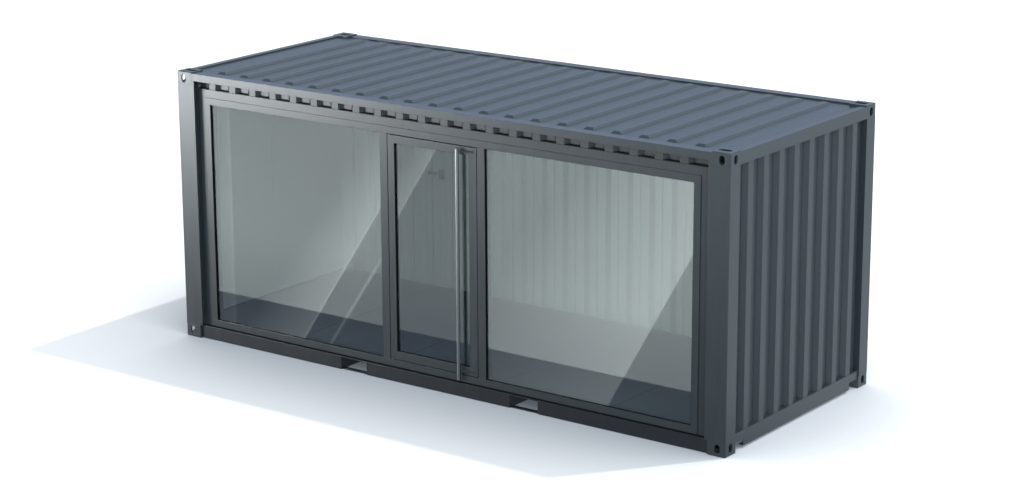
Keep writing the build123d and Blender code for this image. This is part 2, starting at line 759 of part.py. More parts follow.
def door_pull():
    """Long tube with capped ends on two slanted arms, each with a round foot."""
    u, d = pull_axis()
    up = (Align.CENTER, Align.CENTER, Align.MIN)
    bottom, top = LEAF_BOTTOM - PULL_BELOW_LEAF, LEAF_TOP - PULL_BELOW_TOP
    length = top - bottom
    tube = Cylinder(PULL_DIAMETER / 2, length, align=up)
    tube -= Pos(0, 0, PULL_WALL) * Cylinder(
        PULL_DIAMETER / 2 - PULL_WALL, length - 2 * PULL_WALL, align=up
    )
    tube = Pos(LEFT + u, FRONT + d, bottom) * tube
    foot_u = LEAF_RIGHT - LOCK_STILE / 2
    pull = tube
    for z in (LEAF_BOTTOM + PULL_ARM_FROM_EDGE, LEAF_TOP - PULL_ARM_FROM_EDGE):
        start = Vector(LEFT + u, FRONT + d, z)
        end = Vector(LEFT + foot_u, FRONT + PROFILE_RECESS, z)
        way = (end - start).normalized()
        arm = Plane(origin=start, z_dir=way) * Cylinder(
            PULL_ARM_DIAMETER / 2, (end - start).length, align=up
        )
        arm -= tube_core(start, length)
        foot = Plane(origin=end, z_dir=(0, -1, 0)) * Cylinder(
            PULL_FOOT_DIAMETER / 2, PULL_FOOT, align=up
        )
        pull += arm + foot
    keep = block(0, LENGTH, 0, PROFILE_RECESS, 0, HEIGHT)
    return pull & keep


def tube_core(centre, length):
    """The hollow inside the pull, which its arms stop short of."""
    return Pos(centre) * Cylinder(PULL_DIAMETER / 2 - PULL_WALL, length)


# -------------------------------------------------------------- small fittings
def wall_bracket():
    """Small bar and plate on the inside of the rear wall."""
    back = WIDTH - SIDE_WALL_BACK
    plate_start = BRACKET_X + BRACKET_BAR_LENGTH
    half_bar, half_plate = BRACKET_BAR_HEIGHT / 2, BRACKET_PLATE_HEIGHT / 2
    bar = block(
        BRACKET_X,
        plate_start,
        back - BRACKET_BAR_DEPTH,
        back,
        BRACKET_HEIGHT - half_bar,
        BRACKET_HEIGHT + half_bar,
    )
    return bar + block(
        plate_start,
        plate_start + BRACKET_PLATE_WIDTH,
        back - BRACKET_PLATE_DEPTH,
        back,
        BRACKET_HEIGHT - half_plate,
        BRACKET_HEIGHT + half_plate,
    )


# -------------------------------------------------------------------- assembly
def build():
    nodes = {}
    nodes["bottom_castings"], nodes["top_castings"] = castings()

    post = corner_post()
    nodes["front_left_post"] = post
    nodes["front_right_post"] = to_right(post)
    nodes["rear_left_post"] = to_rear(post)
    nodes["rear_right_post"] = to_rear(to_right(post))

    low_rail, high_rail = side_bottom_rail(), side_top_rail()
    nodes["front_bottom_rail"] = low_rail
    nodes["rear_bottom_rail"] = [to_rear(length) for length in low_rail]
    nodes["front_top_rail"], nodes["rear_top_rail"] = high_rail, to_rear(high_rail)
    low_end, high_end = end_bottom_rail(), end_top_rail()
    nodes["left_bottom_rail"], nodes["right_bottom_rail"] = low_end, to_right(low_end)
    nodes["left_top_rail"], nodes["right_top_rail"] = high_end, to_right(high_end)

    nodes["cross_members"] = cross_members()
    nodes["fork_pockets"] = fork_pockets()
    nodes["floor_deck"] = floor_deck()

    nodes["front_wall_strip"] = side_sheet(HEAD_TOP, SIDE_TOP_RAIL_BOTTOM)
    nodes["rear_wall"] = to_rear(side_sheet(SIDE_RAIL_TOP, SIDE_TOP_RAIL_BOTTOM))
    end_wall = end_sheet()
    nodes["left_wall"], nodes["right_wall"] = end_wall, to_right(end_wall)
    lining = end_lining()
    nodes["left_lining"] = lining
    nodes["right_lining"] = [to_right(board) for board in lining]
    nodes["corner_casings"] = four_corners(corner_casing())
    nodes["roof_panel"] = roof_panel()

    nodes["frame_head"] = frame_head()
    nodes["frame_sill"] = frame_sill()
    nodes["frame_left_jamb"] = frame_jamb(
        POST_SIDE_ARM, OPENING_START, OPENING_START - PROFILE_WIDTH
    )
    nodes["frame_right_jamb"] = frame_jamb(OPENING_END, LENGTH - POST_SIDE_ARM, OPENING_END)
    nodes["left_mullion"] = frame_mullion(LEFT_MULLION_AT, LEFT_MULLION_END)
    nodes["right_mullion"] = frame_mullion(RIGHT_MULLION_AT, RIGHT_MULLION_AT - DOOR_STOP_WIDTH)
    nodes["front_ledge"] = front_ledge()

    left_pane = OPENING_START, LEFT_MULLION_AT, SILL_TOP, HEAD_BOTTOM
    right_pane = RIGHT_MULLION_END, OPENING_END, SILL_TOP, HEAD_BOTTOM
    nodes["left_glass"], nodes["left_beads"] = pane(*left_pane), beads(*left_pane)
    nodes["right_glass"], nodes["right_beads"] = pane(*right_pane), beads(*right_pane)

    door_pane = (
        LEAF_LEFT + HINGE_STILE,
        LEAF_RIGHT - LOCK_STILE,
        LEAF_BOTTOM + DOOR_BOTTOM_RAIL,
        LEAF_TOP - DOOR_TOP_RAIL,
    )
    nodes["door_hinge_stile"] = hinge_stile()
    nodes["door_lock_stile"] = door_stile(LEAF_RIGHT - LOCK_STILE, LEAF_RIGHT)
    nodes["door_bottom_rail"] = door_rail(LEAF_BOTTOM, door_pane[2])
    nodes["door_top_rail"] = door_rail(door_pane[3], LEAF_TOP)
    nodes["door_glass"], nodes["door_beads"] = pane(*door_pane), beads(*door_pane)
    nodes["door_pivots"] = door_pivots()
    nodes["door_pull"] = door_pull()

    nodes["rear_wall_bracket"] = wall_bracket()
    return nodes


def write(nodes):
    os.makedirs("parts", exist_ok=True)
    for name, shape in nodes.items():
        solids = shape if isinstance(shape, list) else [shape]
        solids = [solid for item in solids for solid in item.solids()]
        body = Compound(solids) if len(solids) > 1 else solids[0]
        body.label = name
        export_step(body, f"parts/{name}.step")


write(build())
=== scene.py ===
# %% [markdown]
# # Dressing a container cabin
#
# The real object is a twenty-foot steel container. One long side was cut out
# and closed again with a glazed frame: two fixed panes and a glass door with a
# long pull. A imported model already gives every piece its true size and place,
# so this lesson only adds what the eye needs: finishes, welds, seals and
# screws, and then the light and the camera.
#
# Lengths are metres. X runs along the long side, -Y is the glazed front, Z is up.

# %% Load the fixed frame
import json
import math

import bmesh
import bpy
from mathutils import Matrix, Vector


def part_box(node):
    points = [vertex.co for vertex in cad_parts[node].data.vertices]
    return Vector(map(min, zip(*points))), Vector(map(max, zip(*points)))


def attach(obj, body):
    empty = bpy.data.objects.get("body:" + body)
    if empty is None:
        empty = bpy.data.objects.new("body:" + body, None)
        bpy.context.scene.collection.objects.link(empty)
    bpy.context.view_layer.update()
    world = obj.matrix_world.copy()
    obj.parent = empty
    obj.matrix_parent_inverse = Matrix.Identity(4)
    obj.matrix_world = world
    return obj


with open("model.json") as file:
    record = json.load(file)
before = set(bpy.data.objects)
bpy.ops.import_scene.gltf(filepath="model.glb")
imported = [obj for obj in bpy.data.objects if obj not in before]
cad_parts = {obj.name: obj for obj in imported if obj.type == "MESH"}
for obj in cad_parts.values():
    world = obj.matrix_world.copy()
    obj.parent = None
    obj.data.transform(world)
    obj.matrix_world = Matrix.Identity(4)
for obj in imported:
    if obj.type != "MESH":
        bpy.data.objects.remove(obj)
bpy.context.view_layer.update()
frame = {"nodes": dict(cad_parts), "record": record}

nodes = frame["nodes"]
MM = 0.001

# %% [markdown]
# ## Colours
#
# A designer reads colours as sRGB hex from a paint chart, but a renderer adds
# up light, so it needs linear values. One function does the change for every
# colour in this file.


# %% One way from hex to linear
def linear(hex_colour):
    """A linear colour from an sRGB hex value such as "#3b4347"."""
    channels = [int(hex_colour[i : i + 2], 16) / 255 for i in (1, 3, 5)]
    curve = [c / 12.92 if c <= 0.04045 else ((c + 0.055) / 1.055) ** 2.4 for c in channels]
    return (*curve, 1.0)


print("mid grey:", [round(c, 3) for c in linear("#808080")])

# %% [markdown]
# ## One helper for shader nodes
#
# A material is a small network. Writing each node in the same short form keeps
# the recipe readable: the kind of node, then its inputs by name. An input is
# either a value or the output of another node, which becomes a link. A recipe
# is a function that returns its last shader, and a second helper makes the
# material that wears it.


# %% Add a node, and make a finish from a recipe
def add(tree, kind, inputs=None, **settings):
    """Add one node. Inputs are values or other nodes' output sockets."""
    made = tree.nodes.new(kind)
    for name, value in settings.items():
        setattr(made, name, value)
    for name, value in (inputs or {}).items():
        if isinstance(value, bpy.types.NodeSocket):
            tree.links.new(value, made.inputs[name])
        else:
            made.inputs[name].default_value = value
    return made


def new_finish(name, recipe, *choices):
    """A material whose surface is the shader that the recipe returns."""
    material = bpy.data.materials.new(name)
    material.use_nodes = True
    tree = material.node_tree
    tree.nodes.clear()
    add(tree, "ShaderNodeOutputMaterial", {"Surface": recipe(tree, *choices)})
    return material


print("helpers:", add.__name__, new_finish.__name__)

# %% [markdown]
# ## Polyurethane enamel on steel
#
# Outside, the container wears a two-pack polyurethane enamel in anthracite,
# sprayed in one coat over zinc primer. It dries satin, with patches where the
# film is thinner and lighter, thin dust that rain has drawn down the sheets in
# runs, and a faint orange peel of about 4 mm. The peel is too fine for a picture
# of the whole cabin, so it is drawn three times as coarse. A painted texture
# would repeat over such large sheets, so noises make all three, each with its
# own scale. A bevel node rounds the sharp edges of the steel in the shading alone.


# %% Satin enamel
PATCH = 625 * MM
RUN_WIDTH, RUN_LENGTH = 37 * MM, 476 * MM
DRAWN_PEEL = 3 * 4 * MM


def sprayed_enamel(tree, body, thin, dusty, roughness, bend=4 * MM):
    """Satin sprayed paint: patches of thin film, runs of dust and orange peel."""
    place = add(tree, "ShaderNodeTexCoord").outputs["Object"]
    cloud = add(tree, "ShaderNodeTexNoise", {"Vector": place, "Scale": 1 / PATCH, "Detail": 4.0})
    film = add(
        tree,
        "ShaderNodeMix",
        {"Factor": cloud.outputs["Fac"], "A": linear(body), "B": linear(thin)},
        data_type="RGBA",
    )
    drawn = add(
        tree,
        "ShaderNodeMapping",
        {"Vector": place, "Scale": (1 / RUN_WIDTH, 1 / RUN_WIDTH, 1 / RUN_LENGTH)},
    )
    runs = add(
        tree,
        "ShaderNodeTexNoise",
        {"Vector": drawn.outputs["Vector"], "Scale": 1.0, "Detail": 5.0, "Roughness": 0.6},
    )
    veil = add(
        tree,
        "ShaderNodeMapRange",
        {"Value": runs.outputs["Fac"], "From Min": 0.52, "From Max": 0.85, "To Max": 0.16},
    )
    dust = add(
        tree,
        "ShaderNodeMix",
        {"Factor": veil.outputs["Result"], "A": film.outputs["Result"], "B": linear(dusty)},
        data_type="RGBA",
    )
    gloss = add(
        tree,
        "ShaderNodeMapRange",
        {"Value": runs.outputs["Fac"], "To Min": roughness - 0.05, "To Max": roughness + 0.09},
    )
    peel = add(tree, "ShaderNodeTexNoise", {"Vector": place, "Scale": 1 / DRAWN_PEEL, "Detail": 2.0})
    rounded = add(tree, "ShaderNodeBevel", {"Radius": bend}, samples=6)
    skin = add(
        tree,
        "ShaderNodeBump",
        {
            "Height": peel.outputs["Fac"],
            "Strength": 0.06,
            "Distance": 0.6 * MM,
            "Normal": rounded.outputs["Normal"],
        },
    )
    paint = add(
        tree,
        "ShaderNodeBsdfPrincipled",
        {
            "Base Color": dust.outputs["Result"],
            "Roughness": gloss.outputs["Result"],
            "Normal": skin.outputs["Normal"],
            "IOR": 1.5,
        },
    )
    return paint.outputs["BSDF"]


enamel = new_finish("polyurethane_enamel", sprayed_enamel, "#2e373c", "#323b40", "#4d575b", 0.33)
print("paint:", enamel.name)

# %% [markdown]
# ## The other paints
#
# The glazed frame and the door are powder coated, which dries a shade smoother
# than sprayed enamel. The corrugated sheets wear the same enamel, but the steel
# is pressed round a 10 mm bend, so their edges are softer. The long bottom
# rails, the cross members and the fork pockets get the enamel darker and bluer:
# this is painted shade, because they stand low over the shaded floor in front of
# and under the cabin. The small wall bracket is matt black, and the sheets are
# light grey inside. All of them are sprayed, so one recipe with other colours and
# gloss makes them all.

# %% Paints for the frame, sheets, underframe and room
SHEET_BEND = 10 * MM
powder = new_finish("polyester_powder_coat", sprayed_enamel, "#2e363b", "#31393e", "#4b5458", 0.32)
sheet_enamel = new_finish(
    "enamel_on_pressed_sheet", sprayed_enamel, "#2e373c", "#323b40", "#4d575b", 0.36, SHEET_BEND
)
# Painted shade: the underframe wears the enamel darker and bluer for the shade low over the floor.
painted_shade_underframe_enamel = new_finish("painted_shade_underframe_enamel", sprayed_enamel, "#161d26", "#1a212a", "#343d46", 0.33)
matt_black = new_finish("matt_black_enamel", sprayed_enamel, "#0b0d0f", "#0f1113", "#191c1e", 0.6)
light_enamel = new_finish(
    "light_grey_enamel", sprayed_enamel, "#777e7d", "#7d8281", "#6c7271", 0.55, SHEET_BEND
)
print("paints:", powder.name, sheet_enamel.name, painted_shade_underframe_enamel.name)
print("and:", matt_black.name, light_enamel.name)

# %% [markdown]
# ## Lining board and floor board
#
# The ends are lined with light grey melamine-faced board, which is almost
# featureless: one slow noise is enough. The floor is dark phenolic-faced
# plywood. A film is pressed on with a fine mesh, so it is dull, and it is worn a
# little paler in patches. The mesh is about 3 mm wide on the real board and is
# drawn 12 mm wide to show.


# %% Melamine-faced board
FAINT_PATCH = 455 * MM


def melamine_board(tree):
    """Smooth light grey board with a hardly visible unevenness."""
    place = add(tree, "ShaderNodeTexCoord").outputs["Object"]
    cloud = add(tree, "ShaderNodeTexNoise", {"Vector": place, "Scale": 1 / FAINT_PATCH, "Detail": 3.0})
    face = add(
        tree,
        "ShaderNodeMix",
        {"Factor": cloud.outputs["Fac"], "A": linear("#757c7b"), "B": linear("#7d8382")},
        data_type="RGBA",
    )
    board = add(
        tree,
        "ShaderNodeBsdfPrincipled",
        {"Base Color": face.outputs["Result"], "Roughness": 0.5, "IOR": 1.5},
    )
    return board.outputs["BSDF"]


melamine = new_finish("melamine_faced_board", melamine_board)
print("lining:", melamine.name)

# %% Phenolic-faced plywood
WORN_PATCH, DRAWN_MESH = 770 * MM, 12 * MM


def phenolic_plywood(tree):
    """Dark pressed film with a fine mesh and worn patches."""
    place = add(tree, "ShaderNodeTexCoord").outputs["Object"]
    mesh_press = add(tree, "ShaderNodeTexVoronoi", {"Vector": place, "Scale": 1 / DRAWN_MESH})
    worn = add(tree, "ShaderNodeTexNoise", {"Vector": place, "Scale": 1 / WORN_PATCH, "Detail": 6.0})
    film = add(
        tree,
        "ShaderNodeMix",
        {"Factor": worn.outputs["Fac"], "A": linear("#465059"), "B": linear("#59636b")},
        data_type="RGBA",
    )
    press = add(
        tree,
        "ShaderNodeBump",
        {"Height": mesh_press.outputs["Distance"], "Strength": 0.25, "Distance": 0.8 * MM},
    )
    board = add(
        tree,
        "ShaderNodeBsdfPrincipled",
        {
            "Base Color": film.outputs["Result"],
            "Roughness": 0.5,
            "IOR": 1.55,
            "Normal": press.outputs["Normal"],
        },
    )
    return board.outputs["BSDF"]


plywood = new_finish("phenolic_faced_plywood", phenolic_plywood)
print("floor board:", plywood.name)

# %% [markdown]
# ## Float glass
#
# A sealed unit has four reflecting faces where one sheet has two, so it mirrors
# about twice as much. The pane here is one sheet, and a higher IOR makes up for
# the missing faces. Iron in the glass gives the faint green. Lamps and the soft
# light that fills the room go straight through a clear stand-in, because bent
# light paths would only add noise.


# %% Sealed glazing
def sealed_glazing(tree):
    """Float glass for the eye and the mirror, clear for lamps and soft light."""
    sheet = add(
        tree,
        "ShaderNodeBsdfPrincipled",
        {
            "Base Color": linear("#dbe6e3"),
            "Transmission Weight": 1.0,
            "Roughness": 0.0,
            "IOR": 1.62,
        },
    )
    clear = add(tree, "ShaderNodeBsdfTransparent", {"Color": linear("#e3ebe8")})
    ray = add(tree, "ShaderNodeLightPath")
    soft = add(
        tree,
        "ShaderNodeMath",
        {0: ray.outputs["Is Shadow Ray"], 1: ray.outputs["Is Diffuse Ray"]},
        operation="MAXIMUM",
    )
    both = add(
        tree,
        "ShaderNodeMixShader",
        {0: soft.outputs["Value"], 1: sheet.outputs["BSDF"], 2: clear.outputs["BSDF"]},
    )
    return both.outputs["Shader"]


glass = new_finish("float_glass", sealed_glazing)
print("glass:", glass.name)

# %% [markdown]
# ## Rubber and bare steel
#
# The glazing beads and seals are extruded EPDM, black and almost matt, with a
# slight grain. The pull is satin stainless steel, brushed round the tube, so its
# fine scratches run around it. The pivots and the screws are turned and
# zinc-plated steel. A noise that is stretched one way draws the scratches, since
# it needs no unwrapping. Real grain and scratches are some 0.1 mm apart, so both
# are drawn as coarse as they need to show.


# %% EPDM gasket
RUBBER_GRAIN = 7 * MM


def epdm(tree):
    """Extruded rubber: black, matt and slightly grainy."""
    place = add(tree, "ShaderNodeTexCoord").outputs["Object"]
    grain = add(tree, "ShaderNodeTexNoise", {"Vector": place, "Scale": 1 / RUBBER_GRAIN, "Detail": 2.0})
    skin = add(
        tree,
        "ShaderNodeBump",
        {"Height": grain.outputs["Fac"], "Strength": 0.15, "Distance": 0.4 * MM},
    )
    rubber_skin = add(
        tree,
        "ShaderNodeBsdfPrincipled",
        {
            "Base Color": linear("#0b0c0d"),
            "Roughness": 0.75,
            "Specular IOR Level": 0.25,
            "Normal": skin.outputs["Normal"],
        },
    )
    return rubber_skin.outputs["BSDF"]


rubber = new_finish("epdm_gasket", epdm)
print("seals:", rubber.name)


# %% Brushed and turned steel
def brushed_steel(tree, tone, roughness, across, along):
    """Bare metal with scratches: across is their spacing, along their length."""
    place = add(tree, "ShaderNodeTexCoord").outputs["Object"]
    drawn = add(
        tree,
        "ShaderNodeMapping",
        {"Vector": place, "Scale": (1 / along, 1 / along, 1 / across)},
    )
    lines = add(
        tree, "ShaderNodeTexNoise", {"Vector": drawn.outputs["Vector"], "Scale": 1.0, "Detail": 3.0}
    )
    gloss = add(
        tree,
        "ShaderNodeMapRange",
        {"Value": lines.outputs["Fac"], "To Min": roughness - 0.07, "To Max": roughness + 0.1},
    )
    cut = add(
        tree,
        "ShaderNodeBump",
        {"Height": lines.outputs["Fac"], "Strength": 0.1, "Distance": 0.3 * MM},
    )
    metal = add(
        tree,
        "ShaderNodeBsdfPrincipled",
        {
            "Base Color": linear(tone),
            "Metallic": 1.0,
            "Roughness": gloss.outputs["Result"],
            "Normal": cut.outputs["Normal"],
        },
    )
    return metal.outputs["BSDF"]


stainless = new_finish("brushed_stainless_steel", brushed_steel, "#9aa0a2", 0.3, 4 * MM, 60 * MM)
zinc = new_finish("zinc_plated_steel", brushed_steel, "#a9adab", 0.38, 3 * MM, 20 * MM)
print("bare metal:", stainless.name, zinc.name)

# %% [markdown]
# ## Which piece wears what
#
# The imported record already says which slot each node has, so the finishes are
# handed out from that table, and only the pieces whose paint differs from their
# slot's are named here. Corrugated sheets are painted dark outside and light
# inside: each face is asked which way it looks, and a face that looks into the
# room gets the light paint.

# %% Hand out the finishes
OUTWARD = {
    "left_wall": Vector((-1, 0, 0)),
    "right_wall": Vector((1, 0, 0)),
    "rear_wall": Vector((0, 1, 0)),
    "front_wall_strip": Vector((0, -1, 0)),
    "roof_panel": Vector((0, 0, 1)),
}
FINISHES = {
    "painted_steel": enamel,
    "frame_paint": powder,
    "lining_board": melamine,
    "inner_sheet": light_enamel,
    "floor_board": plywood,
    "glass": glass,
    "gasket": rubber,
    "pull_steel": stainless,
    "pivot_steel": zinc,
}
OTHER_PAINTS = [
    (sheet_enamel, tuple(OUTWARD)),
    # The underframe pieces get the painted shade.
    (painted_shade_underframe_enamel, ("front_bottom_rail", "rear_bottom_rail", "cross_members", "fork_pockets")),
    (matt_black, ("rear_wall_bracket",)),
]
for row in frame["record"]["subparts"]:
    mesh = nodes[row["node"]].data
    mesh.materials.clear()
    mesh.materials.append(FINISHES[row["material_slot"]])
for paint, names in OTHER_PAINTS:
    for name in names:
        nodes[name].data.materials[0] = paint
    print(paint.name, "on", len(names), "pieces")

# %% Paint the inner faces of the sheets light grey
LEAST_COSINE = 0.3


def faces_towards(mesh, way):
    """Faces that look that way, with the slanting sides of the corrugation."""
    return [face for face in mesh.polygons if face.normal.dot(way) > LEAST_COSINE]


for name, outward in OUTWARD.items():
    mesh = nodes[name].data
    mesh.materials.append(light_enamel)
    inside = faces_towards(mesh, -outward)
    for face in inside:
        face.material_index = 1
    print(name, "light faces:", len(inside), "of", len(mesh.polygons))

# %% [markdown]
# ## Welds
#
# Each pressed sheet is welded all round to the rails that carry it. A weld is
# a low bead, so here it is a round curve that follows the corrugations: the
# sheet's own outer faces say where its edge runs. The bead is sprayed with the
# same enamel, and its ripple is about 3 mm apart, drawn 8 mm apart to show.


# %% Enamel over a weld
DRAWN_RIPPLE = 8 * MM
# A diagonal wave repeats every 0.2 pi units along one axis at a scale of 1.
WAVE_PERIOD = 0.2 * math.pi


def weld_enamel(tree):
    """The dark enamel over the ripple of a weld bead."""
    place = add(tree, "ShaderNodeTexCoord").outputs["Object"]
    ripple = add(
        tree,
        "ShaderNodeTexWave",
        {"Vector": place, "Scale": WAVE_PERIOD / DRAWN_RIPPLE, "Distortion": 3.0, "Detail": 2.0},
        bands_direction="DIAGONAL",
    )
    relief = add(
        tree,
        "ShaderNodeBump",
        {"Height": ripple.outputs["Fac"], "Strength": 0.5, "Distance": 1 * MM},
    )
    tone = add(
        tree,
        "ShaderNodeMix",
        {"Factor": ripple.outputs["Fac"], "A": linear("#293136"), "B": linear("#333c41")},
        data_type="RGBA",
    )
    paint = add(
        tree,
        "ShaderNodeBsdfPrincipled",
        {
            "Base Color": tone.outputs["Result"],
            "Roughness": 0.4,
            "IOR": 1.5,
            "Normal": relief.outputs["Normal"],
        },
    )
    return paint.outputs["BSDF"]


welded = new_finish("enamel_over_weld", weld_enamel)
print("weld paint:", welded.name)


# %% A bead along a line of points
def fit_piece(name, data, material, slot, body):
    """A piece of the scene in one finish, riding on a body. Its slot is not used."""
    data.materials.append(material)
    piece = bpy.data.objects.new(name, data)
    bpy.context.scene.collection.objects.link(piece)
    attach(piece, body)
    return piece


def round_bead(name, points, radius, material, slot, body="root", closed=False):
    """A round bead through the points, as one poly curve."""
    line = bpy.data.curves.new(name, "CURVE")
    line.dimensions = "3D"
    line.bevel_depth = radius
    line.bevel_resolution = 1
    line.use_fill_caps = True
    spline = line.splines.new("POLY")
    spline.points.add(len(points) - 1)
    for spot, point in zip(spline.points, points):
        spot.co = (*point, 1.0)
    spline.use_cyclic_u = closed
    return fit_piece(name, line, material, slot, body)


print("bead helpers:", fit_piece.__name__, round_bead.__name__)

# %% Weld the sheets to their rails
WELD_RADIUS, WELD_LIFT, WELD_STEP = 3.5 * MM, 1 * MM, 1.5 * MM
WELDED_ENDS = {
    "left_wall": ("top", "foot"),
    "right_wall": ("top", "foot"),
    "rear_wall": ("top", "foot"),
    "front_wall_strip": ("top",),
}


def sheet_edge(name, level):
    """Points along a sheet's outer edge at one level, from one side to the other."""
    mesh, outward = nodes[name].data, OUTWARD[name]
    spots = {}
    for face in faces_towards(mesh, outward):
        for index in face.vertices:
            point = mesh.vertices[index].co
            if abs(point.z - level) < 1 * MM:
                spots[round(point.dot(outward.yxz), 4)] = point
    return [spots[along] for along in sorted(spots)]


for name, ends in WELDED_ENDS.items():
    low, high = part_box(name)
    for end in ends:
        level, step = (high[2], -WELD_STEP) if end == "top" else (low[2], WELD_STEP)
        shift = OUTWARD[name] * WELD_LIFT + Vector((0, 0, step))
        points = [point + shift for point in sheet_edge(name, level)]
        round_bead(f"{name}_{end}_weld", points, WELD_RADIUS, welded, "painted_steel")
        print(name, end, "weld points:", len(points))

# %% [markdown]
# ## Seals and sealant
#
# Rubber closes every gap of the glazed frame. A bulb seal runs round the door
# opening, in front of the stops, where the leaf presses on it. A flat black
# rubber strip along the frame's head, at the foot of the corrugated sheet, is
# painted shade: it makes the foot of each recess as black as the deep shade
# there. A bead of sealant joins the jambs to the posts. Seals with corners are
# blocks with eased edges, and round ones are beads like the welds.


# %% A black strip with eased edges on the head, as painted shade
def rubber_strip(name, low, high, ease):
    """A rectangular rubber strip with eased edges, from low to high."""
    shape = bmesh.new()
    size = Vector(high) - Vector(low)
    middle = (Vector(high) + Vector(low)) / 2
    block = Matrix.Translation(middle) @ Matrix.Diagonal((*size, 1))
    bmesh.ops.create_cube(shape, size=1.0, matrix=block)
    bmesh.ops.bevel(shape, geom=shape.edges[:], offset=ease, segments=2, affect="EDGES")
    mesh = bpy.data.meshes.new(name)
    shape.to_mesh(mesh)
    shape.free()
    return fit_piece(name, mesh, rubber, "gasket", "root")


# Painted shade: a black rubber strip on the head blackens the foot of each recess, where the shade is
# deep.
HEAD_SHADE_STRIP_HEIGHT, HEAD_SHADE_STRIP_EASE = 9 * MM, 0.8 * MM
END_GAP, FRONT_GAP, REAR_GAP = 2 * MM, 0.5 * MM, 3 * MM
head_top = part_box("frame_head")[1][2]
sheet_low, sheet_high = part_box("front_wall_strip")
rubber_strip(
    "head_painted_shade_strip",
    (sheet_low[0] + END_GAP, sheet_low[1] + FRONT_GAP, head_top),
    (sheet_high[0] - END_GAP, sheet_high[1] - REAR_GAP, head_top + HEAD_SHADE_STRIP_HEIGHT),
    HEAD_SHADE_STRIP_EASE,
)
print("head seal:", round(sheet_high[0] - sheet_low[0] - 2 * END_GAP, 3), "m long")

# %% Bulb seal round the door
BULB_RADIUS = 2.8 * MM
PAST_LEAF, PAST_LOCK_EDGE, BEHIND_LEAF = 2 * MM, 1 * MM, 5 * MM
leaf_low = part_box("door_hinge_stile")[0]
leaf_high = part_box("door_lock_stile")[1]
seal_left, seal_right = leaf_low[0] - PAST_LEAF, leaf_high[0] + PAST_LOCK_EDGE
seal_foot, seal_top = leaf_low[2] + PAST_LEAF, leaf_high[2] + PAST_LEAF
seal_y = leaf_high[1] + BEHIND_LEAF
corners = [
    (seal_left, seal_y, seal_foot),
    (seal_right, seal_y, seal_foot),
    (seal_right, seal_y, seal_top),
    (seal_left, seal_y, seal_top),
]
round_bead("door_bulb_seal", corners, BULB_RADIUS, rubber, "gasket", closed=True)
print("seal round the door:", round(2 * (seal_right - seal_left + seal_top - seal_foot), 2), "m")

# %% Sealant beside the jambs
SEALANT_RADIUS = 2 * MM
sealant_y = sheet_low[1] - 0.5 * MM
for name, outer_end in (("frame_left_jamb", 0), ("frame_right_jamb", 1)):
    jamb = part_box(name)
    edge = jamb[outer_end][0]
    ends = [(edge, sealant_y, jamb[0][2]), (edge, sealant_y, head_top)]
    round_bead(f"{name}_sealant", ends, SEALANT_RADIUS, rubber, "gasket")
    print(name, "sealant:", round(head_top - jamb[0][2], 3), "m")

# %% [markdown]
# ## Pull fixings
#
# The pull stands on two arms that are painted like the door, and a thin steel
# ring, painted too, hides the hole in the stile at each foot. The arms belong to
# the same mesh as the steel tube, so their faces are chosen by place.

# %% Dark arms and their rings
TUBE_SPAN = 35 * MM
RING_RADIUS, RING_WIRE, RING_STEPS, RING_SINK = 16 * MM, 1.5 * MM, 24, 1 * MM
FOOT_FROM_EDGE, FOOT_FROM_END = 15 * MM, 40 * MM
pull_mesh = nodes["door_pull"].data
pull_low, pull_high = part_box("door_pull")
pull_mesh.materials.append(powder)
arms = [face for face in pull_mesh.polygons if face.center.x > pull_low[0] + TUBE_SPAN]
for face in arms:
    face.material_index = 1
foot_x, ring_y = pull_high[0] - FOOT_FROM_EDGE, pull_high[1] - RING_SINK
turns = [math.tau * step / RING_STEPS for step in range(RING_STEPS)]
for name, foot_z in (("lower", leaf_low[2] + FOOT_FROM_END), ("upper", leaf_high[2] - FOOT_FROM_END)):
    ring = [
        (foot_x + RING_RADIUS * math.cos(turn), ring_y, foot_z + RING_RADIUS * math.sin(turn))
        for turn in turns
    ]
    round_bead(f"{name}_pull_ring", ring, RING_WIRE, powder, "pull_steel", "door", closed=True)
print("arm faces:", len(arms), "of", len(pull_mesh.polygons))

# %% [markdown]
# ## Floor screws and joints
#
# The floor is laid in sheets across the cabin, screwed down to the cross
# members. The countersunk screws are 10 mm across. All of them are one mesh,
# because no screw is ever moved alone. The joints are filled with dark sealant.

# %% Floor screws
SCREW_RADIUS, SCREW_RISE, SCREW_TAPER = 5 * MM, 0.6 * MM, 0.8
EDGE_DISTANCE, SCREWS_ALONG, SCREWS_ACROSS = 60 * MM, 21, 6
floor_low, floor_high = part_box("floor_deck")
pitch_x = (floor_high[0] - floor_low[0] - 2 * EDGE_DISTANCE) / (SCREWS_ALONG - 1)
pitch_y = (floor_high[1] - floor_low[1] - 2 * EDGE_DISTANCE) / (SCREWS_ACROSS - 1)
screws = bmesh.new()
for column in range(SCREWS_ALONG):
    for row in range(SCREWS_ACROSS):
        x = floor_low[0] + EDGE_DISTANCE + column * pitch_x
        y = floor_low[1] + EDGE_DISTANCE + row * pitch_y
        bmesh.ops.create_cone(
            screws,
            cap_ends=True,
            segments=12,
            radius1=SCREW_RADIUS,
            radius2=SCREW_RADIUS * SCREW_TAPER,
            depth=SCREW_RISE,
            matrix=Matrix.Translation((x, y, floor_high[2] + SCREW_RISE / 2)),
        )
screw_mesh = bpy.data.meshes.new("floor_screws")
screws.to_mesh(screw_mesh)
screws.free()
fit_piece("floor_screws", screw_mesh, zinc, "pivot_steel", "root")
print("floor screws:", SCREWS_ALONG * SCREWS_ACROSS, "at", round(pitch_x, 3), "m")

